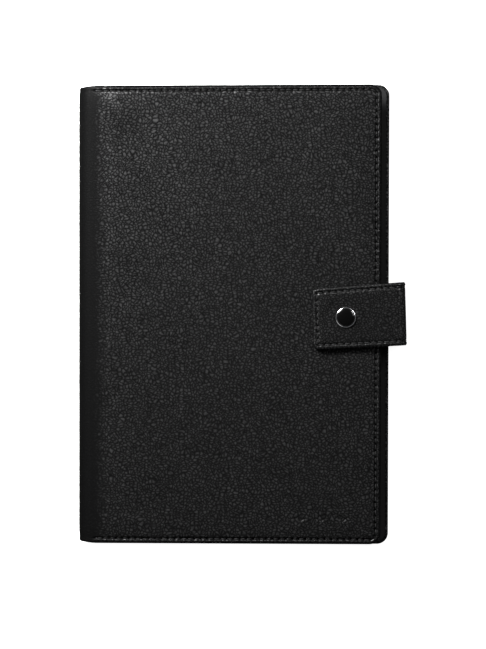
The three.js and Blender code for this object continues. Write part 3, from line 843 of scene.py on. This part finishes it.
# %% [markdown]
# Near the tail corner of the front a row of three plain lozenges is pressed into the hide with a
# warm brass tool. A bump in the finish would look much the same, but the mesh would stay flat, so the
# face itself is pushed down. The faces under the ornament are divided first.

# %% Pressed ornament
LOZENGE = (6.4, 3.6)
LOZENGE_PITCH = 10.5
ORNAMENT = np.array([front_edge - 29.94, 12.2 - half_height])
PRESS_DEPTH = 0.16
PRESS_SLOPE = (0.74, 1.2)  # the sides run between these shares of the lozenge's size
LIP_AT, LIP_WIDTH, LIP_HEIGHT = 1.35, 0.2, 0.03
CUTS = 5
FACE_LEVEL = -0.5          # the outer face is above this, the inner one below


def press_lozenges(points, faces):
    """Divides the outer face under the ornament and presses its three lozenges."""
    work = opened(points, faces)
    reach = (LOZENGE_PITCH + LOZENGE[0] / 2 + 1.0, LOZENGE[1] / 2 + 1.5)
    under = []
    for face in work.faces:
        x, y, z = face.calc_center_median()
        close = abs(x - ORNAMENT[0]) < reach[0] and abs(y - ORNAMENT[1]) < reach[1]
        if close and z > FACE_LEVEL and face.normal.z > 0.5:
            under.append(face)
    edges = list({edge for face in under for edge in face.edges})
    bmesh.ops.subdivide_edges(work, edges=edges, cuts=CUTS, use_grid_fill=True)
    for vertex in work.verts:
        x, y = vertex.co.x - ORNAMENT[0], vertex.co.y - ORNAMENT[1]
        if vertex.co.z < FACE_LEVEL or abs(y) > LOZENGE[1]:
            continue
        nearest = min(abs(x - k * LOZENGE_PITCH) for k in (-1, 0, 1))
        out = nearest / (LOZENGE[0] / 2) + abs(y) / (LOZENGE[1] / 2)
        vertex.co.z -= PRESS_DEPTH * (1 - float(ramp(out, *PRESS_SLOPE)))
        vertex.co.z += LIP_HEIGHT * bump(out - LIP_AT, LIP_WIDTH)
    return closed(work)


print(f"ornament at {ORNAMENT[0]:.1f}, {ORNAMENT[1]:.1f} mm")


# %% Front and back halves of the wrap
BEND_DEPTH = 7.7           # how far round the bend from the panel's outer face; kept as bend_z
FLOOR_Z = 0.0


class Panel:
    """Half of the wrap's pattern: body, outline, fold, seam and the cut at mid-spine."""

    def __init__(self, body, edge, outer_z, face_z, inner_z, toward, roll):
        """toward is the way from the face into the cover, and roll its slope at the spine."""
        self.body = body
        self.bend_z = outer_z + toward * BEND_DEPTH
        self.thick = abs(face_z - inner_z)
        line = wrap_line(face_z, toward, math.radians(roll))
        self.fold = Fold(line, hinge_x + PATTERN_REACH, -1, -toward)
        self.cut = self.fold.where_z(MID_Z, hinge_x - 30.0, hinge_x)
        self.corners = pattern_corners(edge, self.cut - SPARE)
        self.seam = panel_seam(self.corners)

    def across_hinge(self, made, slot, start_z, end_x, *cad):
        """Bakes the piece's place into its points and hides the imported parts that it stands in for."""
        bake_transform(made)
        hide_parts(*cad)


def wrap_half(name, panel, seed, swell, plump, ornament):
    points, faces = wrap_skin(panel, seed, swell, plump)
    points, faces = trim(points, faces, panel.cut, True)
    if ornament:
        points, faces = press_lozenges(points, faces)
    return make_object(name, panel.fold.place(drawn_in(points)), faces, hide_finish, points)


front = Panel("front_cover", front_edge, outer_z=front_face_z, face_z=front_face_z,
              inner_z=front_inner_z, toward=-1, roll=9)
back = Panel("back_cover", back_edge, outer_z=FLOOR_Z, face_z=back_face_z,
             inner_z=back_inner_z, toward=1, roll=3)
front_wrap = wrap_half("front_wrap", front, 11, swell=0.28, plump=0.56, ornament=True)
back_wrap = wrap_half("back_wrap", back, 23, swell=0.12, plump=0.0, ornament=False)
front.across_hinge(front_wrap, "hide", front_face_z, spine_x,
                   "front_outer_leather", "front_hinge_leather", "spine_leather")
back.across_hinge(back_wrap, "hide", FLOOR_Z, spine_x, "back_outer_leather", "back_hinge_leather")
print("wrap:", len(front_wrap.data.vertices), "+", len(back_wrap.data.vertices), "points")

# %% Stitches round both panels
STITCH_LEVEL = -0.55       # they lie in the groove


def sew(name, panel, level, seed, side, *cad):
    points, faces = panel.seam.beads(level, seed, side)
    made = make_object(name, panel.fold.place(points), faces, thread_finish)
    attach(made, panel.body)
    if cad:
        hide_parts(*cad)


sew("front_stitches", front, STITCH_LEVEL, 31, 1, "front_thread")
sew("back_stitches", back, STITCH_LEVEL, 32, 1, "back_thread")
print("stitches:", front.seam.count, "+", back.seam.count)

# %% [markdown]
# The lining is woven cloth glued to the boards and over the turned-in margins, and sewn in by the
# same seam, whose other side shows on it. Draping it by simulation would change nothing that is seen,
# because glue holds it flat, so it is drawn on the hide's own pattern and bends at the spine with it.

# %% Lining sheets
LINING = 0.65
LINING_INSET = 1.5
GLUE = 0.05
INNER_STITCH = LINING + 0.02   # the inner stitches lie this far below the panel


def lining_half(name, panel, seed):
    """Cloth that follows the hide's fold at the depth of the panel."""
    rings = [(3.0, 0.0)] + [(LINING_INSET + i, 0.5 * r * LINING) for i, r in RIM[::2]]
    rings += [(LINING_INSET + i, (1 - 0.5 * r) * LINING) for i, r in RIM[::-2]] + [(3.0, LINING)]

    def height(k, points, middle):
        level = rings[k][1] - panel_thickness(points[:, 0], panel.thick) - GLUE - LINING
        return level + (0.03 * slow_waves(points, seed, 26.0) if k == 0 else 0.0)

    insets = [inset for inset, _ in rings]
    points, faces = ring_skin(panel.corners, FORE_RADII, insets, height, (1.6, 3.0))
    points, faces = trim(points, faces, panel.cut, True)
    return make_object(name, panel.fold.place(drawn_in(points)), faces, lining_finish)


front_lining = lining_half("front_lining_cloth", front, 41)
back_lining = lining_half("back_lining_cloth", back, 42)
front.across_hinge(front_lining, "lining", front_inner_z, spine_x + SPINE_THICK,
                   "front_lining", "front_hinge_lining", "spine_lining")
back.across_hinge(back_lining, "lining", back_inner_z, spine_x + SPINE_THICK,
                  "back_lining", "back_hinge_lining")
sew("front_inner_stitches", front, -front.thick - INNER_STITCH, 33, -1)
sew("back_inner_stitches", back, -back.thick - INNER_STITCH, 34, -1)
print("lining:", len(front_lining.data.vertices), "+", len(back_lining.data.vertices), "points")

# %% [markdown]
# The strap is two layers sewn round the edge: pebbled hide outside and a plain lining inside. It
# leaves the back cover's fore-edge seam, turns up round the pages and lies over the front. It is
# drawn as one long strip and cut in the middle of its upright part, for the same reason as the wrap.

# %% The strap's frame and line
STRAP_TURN = math.radians(1.5)             # the whole strap sits a little askew
STRAP_SKEW = math.tan(math.radians(2.1))   # and its long edges slant more than its ends
STRAP_CENTRE_Y = -0.2
STRAP_HALF = 15.8          # half its width
TIP_NARROWING = 0.038      # share of the width lost at the tip
NARROWING_LENGTH = 42.0
STRAP_BEND = 4.2           # radius of both bends
STRAP_REACH = 8.4          # past the back cover's fore-edge
STRAP_TIP = -38.0
STRAP_LOW = 1.0
STRAP_START = -2.0
LINE_SPARE = 8.0           # the line runs on past both ends
STRAP_HIDE = 1.15
STRAP_LINING = 0.95
TAB_RADIUS = 2.6
TAB_SEAM = 2.3
TAB_PITCH = 3.3
fold_x = STRAP_REACH - STRAP_BEND


def arc(height, start, end):
    """A quarter of the strap's bend, round the point at fold_x and this height."""
    turn = np.radians(np.linspace(start, end, 24))
    return np.c_[fold_x + STRAP_BEND * np.cos(turn), height + STRAP_BEND * np.sin(turn)]


def level_run(start, end, height, steps):
    return np.c_[np.linspace(start, end, steps), np.full(steps, height)]


strap_line = np.vstack([
    level_run(STRAP_START - LINE_SPARE, fold_x, STRAP_LOW, 30)[:-1],
    arc(STRAP_LOW + STRAP_BEND, -90, 0),
    arc(tab_top - STRAP_BEND, 0, 90),
    level_run(fold_x, STRAP_TIP - LINE_SPARE, tab_top, 60)[1:],
])
strap_fold = Fold(strap_line, -LINE_SPARE, 1, 1)
STRAP_LENGTH = float(strap_fold.at[-1]) - LINE_SPARE
upper_bend = strap_fold.where_z(tab_top - STRAP_BEND, 10.0, 60.0)
strap_middle = strap_fold.where_z((tab_top + STRAP_LOW) / 2, 5.0, 60.0)
print(f"strap {STRAP_LENGTH:.1f} mm long, cut at {strap_middle:.1f}")


# %% From the strap's pattern to its place
def on_strap(points):
    """From the strap's own frame to the cover's: slanted, turned and set at the fore-edge."""
    x, y, z = points[:, 0], points[:, 1] + points[:, 0] * STRAP_SKEW, points[:, 2]
    c, s = math.cos(STRAP_TURN), math.sin(STRAP_TURN)
    return np.c_[back_edge + x * c - y * s, STRAP_CENTRE_Y + x * s + y * c, z]


def strap_place(flat):
    """Bends the pattern, whose free end is slightly narrower than the fold."""
    toward_tip = np.clip((flat[:, 0] - upper_bend - 6) / NARROWING_LENGTH, 0, 1)
    out = flat.copy()
    out[:, 1] *= 1 - TIP_NARROWING * toward_tip
    return on_strap(strap_fold.place(out))


def strap_spot(x, z):
    return tuple(on_strap(np.array([[x, 0, z]]))[0] * MM)


# Each half of the strap lists the bodies on either side of its bend and a spot at each end of it.
STRAP_PARTS = {
    "lower": ("back_cover", "strap_bridge", strap_spot(fold_x, STRAP_LOW),
              strap_spot(STRAP_REACH, STRAP_LOW + STRAP_BEND)),
    "upper": ("strap_bridge", "strap_tab", strap_spot(STRAP_REACH, tab_top - STRAP_BEND),
              strap_spot(fold_x, tab_top)),
}


def strap_part(part, name, points, faces, material, cad, flat=None):
    """One half of a strap piece, bent round the strap's line, in place of the imported parts in cad."""
    near, far, start, end = STRAP_PARTS[part]
    made = make_object(f"strap_{part}_{name}", strap_place(points), faces, material, flat)
    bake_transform(made)
    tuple(start)
    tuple(end)
    if cad:
        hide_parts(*cad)


print(f"strap bends {fold_x:.1f} mm past the back cover's fore-edge")

# %% Strap layers
STRAP_CORNERS = [[0, -STRAP_HALF], [STRAP_LENGTH, -STRAP_HALF],
                 [STRAP_LENGTH, STRAP_HALF], [0, STRAP_HALF]]
STRAP_RADII = [0.0, TAB_RADIUS, TAB_RADIUS, 0.0]
STRAP_RIM = rounded_rim(0.6)
STRAP_INSETS = [0.9, 1.2, 1.55, 1.85, 2.1, 2.3, 2.5, 2.75, 3.15, 3.8, 4.8]
strap_loop = outline_loop(STRAP_CORNERS, STRAP_RADII, TAB_SEAM, [500, 300, 500, 300])[:1301]
strap_seam = Seam(strap_loop[strap_loop[:, 0] > 3.0], TAB_PITCH)


def strap_layer(outer, inner, seed, grooved):
    """One layer between two depths; the hide is grooved along its seam and softly crowned."""
    rings = [(2.0, inner)] + [(i, inner + r) for i, r in STRAP_RIM]
    rings += [(i, outer - r) for i, r in STRAP_RIM[::-1]] + [(i, outer) for i in STRAP_INSETS]
    face_start = len(rings) - len(STRAP_INSETS)
    wrinkle = smooth_random(seed, 2.3)

    def height(k, points, middle):
        inset, rise = rings[k]
        level = np.full(len(points), rise)
        if k < face_start or not grooved:
            return level
        if middle:
            return level + 0.13 + 0.05 * slow_waves(points, seed, 22.0)
        spot = strap_seam.nearest(points)
        phase = np.cos(2 * math.pi * spot / strap_seam.pitch)
        level = level - bump(inset - TAB_SEAM, 0.42) * (0.4 + 0.2 * phase)
        level = level + bump(inset - 1.15, 0.5) * (0.2 - 0.07 * phase)
        inside = inset - TAB_SEAM
        if inside > 0:
            level += 0.16 * (1 - math.exp(-inside / 1.8))
            level += 0.03 * wrinkle(spot) * math.exp(-inside / 3.0)
        return level

    insets = [inset for inset, _ in rings]
    return ring_skin(STRAP_CORNERS, STRAP_RADII, insets, height, (0.8, 0.8), 1, 0.8)


def strap_pieces(name, layer, material, slot, **cad):
    for part in STRAP_PARTS:
        points, faces = trim(*layer, strap_middle, part == "upper")
        strap_part(part, name, points, faces, material, cad[part], points)


strap_pieces("hide", strap_layer(0.0, -STRAP_HIDE, 51, True), strap_finish, "strap_hide",
             lower=["strap_lower_bend", "bridge_leather"], upper=["strap_upper_bend", "tab_leather"])
STRAP_BACK = -STRAP_HIDE - STRAP_LINING
strap_pieces("lining", strap_layer(-STRAP_HIDE - 0.03, STRAP_BACK, 52, False), lining_finish, "lining",
             lower=["bridge_lining"], upper=["tab_lining"])
print("strap:", len(STRAP_INSETS), "rings on its face")


# %% Strap stitches
def strap_stitches(name, level, side, seed, *cad):
    for part in STRAP_PARTS:
        points, faces = strap_seam.beads(
            level, seed, side, lambda at: (at[0] >= strap_middle) == (part == "upper"))
        strap_part(part, name, points, faces, thread_finish, cad if part == "upper" else ())


strap_stitches("stitches", -0.26, 1, 53, "tab_thread")
strap_stitches("inner_stitches", STRAP_BACK - 0.02, -1, 54)
print("strap:", strap_seam.count, "stitches a side")

# %% [markdown]
# The snap's cap is a polished ring crimped round a domed black enamel disc. Under the strap its
# socket takes a stud that is riveted through the front cover. All of them are turned shapes. A screw
# modifier could spin them, but it leaves seams on the axis, so a short profile, softened by cutting
# its corners, is spun here round the snap's own axis.

# %% Snap profiles, as (radius, height) from the axis under the part to the axis on top
RING = [(0, -0.4), (1.2, -0.4), (1.2, 0.05), (4.3, 0.05), (5.0, 0.12), (5.08, 0.3), (5.06, 0.62),
        (4.94, 0.84), (4.7, 0.98), (4.4, 1.04), (4.1, 1.05), (4.0, 0.5), (0, 0.5)]
DOME = [(0, 0.4), (4.2, 0.4), (4.3, 0.5), (4.38, 0.98), (4.32, 1.1), (3.5, 1.36), (2.4, 1.56),
        (1.2, 1.67), (0.4, 1.7), (0, 1.7)]
SOCKET = [(0, 1.1), (2.3, 1.1), (2.35, 0.05), (2.6, 0.0), (3.6, 0.0), (3.95, 0.3), (4.0, 0.9),
          (3.8, 1.3), (0, 1.3)]
STUD = [(0, 0.0), (3.8, 0.0), (3.9, 0.15), (3.7, 0.28), (2.3, 0.34), (1.95, 0.6), (1.95, 0.9),
        (2.15, 1.1), (2.1, 1.35), (1.7, 1.5), (0.8, 1.55), (0, 1.55)]
snap_centre = sum(node_box("snap_cap_rim"))[:2] / 2
print("snap centre", np.round(snap_centre, 2))


# %% Snap
def softened(profile, rounds=2):
    """Cuts the corners of a profile; its ends, on the axis, stay."""
    points = np.array(profile, float)
    for _ in range(rounds):
        cut = np.empty((2 * (len(points) - 1), 2))
        cut[0::2] = points[:-1] * 0.75 + points[1:] * 0.25
        cut[1::2] = points[:-1] * 0.25 + points[1:] * 0.75
        points = np.vstack([points[:1], cut, points[-1:]])
    return points


def spun(name, profile, base_z, material, body, cad, steps=96):
    """A closed turned shape on the snap's axis: two fans at the ends and bands between them."""
    profile = softened(profile)
    bands = len(profile) - 3
    turn = 2 * math.pi * np.arange(steps) / steps
    circle = np.c_[np.cos(turn), np.sin(turn)]
    points = [[*snap_centre, base_z + profile[0, 1]]]
    for radius, z in profile[1:-1]:
        points += np.c_[snap_centre + radius * circle, np.full(steps, base_z + z)].tolist()
    points.append([*snap_centre, base_z + profile[-1, 1]])
    faces = band_faces(1, bands + 1, steps)
    for j in range(steps):
        a, b = 1 + j, 1 + (j + 1) % steps
        faces += [[0, b, a], [len(points) - 1, a + bands * steps, b + bands * steps]]
    made = make_object(name, points, faces, material)
    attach(made, body)
    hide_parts(cad)


CAP_Z = tab_top + 0.1
spun("cap_ring", RING, CAP_Z, ring_finish, "strap_tab", "snap_cap_rim")
spun("cap_dome", DOME, CAP_Z, enamel_finish, "strap_tab", "snap_cap_dome")
spun("socket_shell", SOCKET, front_face_z + 0.6, plate_finish, "strap_tab", "snap_socket")
spun("stud_shell", STUD, front_face_z + 0.3, plate_finish, "front_cover", "snap_stud", 64)
print("snap made of 4 turned pieces")

# %% [markdown]
# The notebook inside is what the cover is for. Its leaves are cut together, yet no cut is perfectly
# flush. A plain block would show one flat side, so it is built from thin layers that each stand a
# hair in or out.

# %% Leaves
LEAF_LAYERS = 34
LEAF_RADIUS = 3.6
LEAF_COUNTS = [24, 36, 24, 36]
LEAF_GAP = 0.01


def leaf_block(name, low, high, seed):
    draws = np.random.default_rng(seed)
    points, faces = [], []
    levels = np.linspace(low[2], high[2], LEAF_LAYERS + 1)
    for floor_z, top_z in zip(levels[:-1] + LEAF_GAP, levels[1:] - LEAF_GAP):
        nudge = draws.normal(0, 0.07, 2)
        right, tail, head = high[0] + nudge[0], low[1] + nudge[1], high[1] + nudge[1]
        corners = [[low[0], tail], [right, tail], [right, head], [low[0], head]]
        loop = outline_loop(corners, [0, LEAF_RADIUS, LEAF_RADIUS, 0], 0.0, LEAF_COUNTS)
        base, count = len(points), len(loop)
        for z in (floor_z, top_z):
            points += np.c_[loop, np.full(count, z)].tolist()
        faces += tube_faces(base, 2, count)
    made = make_object(name, points, faces, paper_finish)
    made.data.polygons.foreach_set("use_smooth", [False] * len(made.data.polygons))
    return made


leaves = leaf_block("page_leaves", *node_box("page_block"), 61)
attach(leaves, "back_cover")
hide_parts("page_block")
print(LEAF_LAYERS, "layers of leaves")

# %% [markdown]
# Boards, pockets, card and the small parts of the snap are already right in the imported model. Making
# them again would only risk a misfit, so they keep their shape and take a finish.


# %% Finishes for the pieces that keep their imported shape
def dress(material, *nodes):
    for node in nodes:
        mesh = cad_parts[node].data
        mesh.materials.clear()
        mesh.materials.append(material)


dress(board_finish, "back_board", "front_board", "spine_stiffener")
dress(felt_finish, "front_padding")
dress(lining_finish, "back_sleeve", "slip_pocket", "card_slot_1", "card_slot_2", "card_slot_3")
dress(thread_finish, "sleeve_thread")
dress(card_finish, "notebook_back_card", "notebook_front_sheet")
dress(tape_finish, "notebook_binding")
dress(plate_finish, "snap_post", "snap_spring")
dress(felt_finish, "strap_root")
print("packed pieces dressed")

# %% [markdown]
# Black hide mirrors the whole room, so the room matters as much as the lamps. One strong lamp stands
# close to the head of the cover on the left, and its sheen fades towards the tail. A weak one on the
# right lights the other side of the snap's ring, and two broad faint ones light the tail and the far
# side. The ceiling is dark, which keeps the hide black from above, and pale walls near the horizon
# draw its edges. The camera sees the floor and the room as plain white, whatever they reflect.

# %% Floor
FLOOR_REACH = 3.0
FLOOR_SEEN, FLOOR_MIRRORED = 0.9, 0.12
FLOOR_GLOW = 0.95
corners = [(-FLOOR_REACH, -FLOOR_REACH, 0), (FLOOR_REACH, -FLOOR_REACH, 0),
           (FLOOR_REACH, FLOOR_REACH, 0), (-FLOOR_REACH, FLOOR_REACH, 0)]
floor_mesh = bpy.data.meshes.new("floor")
floor_mesh.from_pydata(corners, [], [(0, 1, 2, 3)])
floor = bpy.data.objects.new("floor", floor_mesh)
bpy.context.scene.collection.objects.link(floor)
paint = Finish("pale_floor")
seen = paint.node("ShaderNodeLightPath", out="Is Camera Ray")
mirrored = paint.node("ShaderNodeBsdfDiffuse", {}, {"Color": grey(FLOOR_MIRRORED)})
bright = paint.node("ShaderNodeBsdfDiffuse", {}, {"Color": grey(FLOOR_SEEN)})
glow = paint.node("ShaderNodeEmission", {}, {"Color": grey(1.0), "Strength": FLOOR_GLOW})
lit = paint.node("ShaderNodeAddShader", {}, {0: bright, 1: glow})
cast = paint.node("ShaderNodeMixShader", {}, {0: seen, 1: mirrored, 2: lit})
paint.node("ShaderNodeOutputMaterial", {}, {"Surface": cast})
floor_mesh.materials.append(paint.owner)
print("floor laid")


# %% Lamps and room
def soft_lamp(name, place, size, power):
    """A rectangular soft lamp of size (width, height) that faces the cover."""
    data = bpy.data.lights.new(name, "AREA")
    data.shape, data.size, data.size_y, data.energy = "RECTANGLE", size[0], size[1], power
    lamp = bpy.data.objects.new(name, data)
    lamp.location = place
    lamp.rotation_euler = (-Vector(place)).to_track_quat("-Z", "Y").to_euler()
    bpy.context.scene.collection.objects.link(lamp)


soft_lamp("left_lamp", (-0.25, 0.33, 0.33), (0.24, 0.12), 7.6)
soft_lamp("right_lamp", (0.44, 0.24, 0.50), (0.24, 0.08), 0.9)
soft_lamp("tail_lamp", (-1.2, -1.2, 0.9), (1.6, 1.0), 3.0)
soft_lamp("far_lamp", (1.3, 1.1, 0.55), (1.6, 0.8), 3.0)
CEILING, WALLS = 0.01, 0.3
WALL_TOP = (0.25, 0.65)    # the walls fade into the ceiling between these heights of the sky
room = Finish("studio", world=True)
height = room.axis("Z", room.node("ShaderNodeTexCoord", out="Generated"))
wall = 1.0 - height.rise(*WALL_TOP)
direct = room.node("ShaderNodeLightPath", out="Is Camera Ray")
strength = (wall * (WALLS - CEILING) + CEILING) * (1.0 - direct) + direct
sky = room.node("ShaderNodeBackground", {}, {"Color": (0.95, 0.97, 1.0, 1.0), "Strength": strength})
room.node("ShaderNodeOutputWorld", {}, {"Surface": sky})
bpy.context.scene.world = room.owner
print("lamps:", ", ".join(lamp.name for lamp in bpy.data.lights))

# %% [markdown]
# The last line says that the scene is ready.

# %% Finish
print("scene ready")
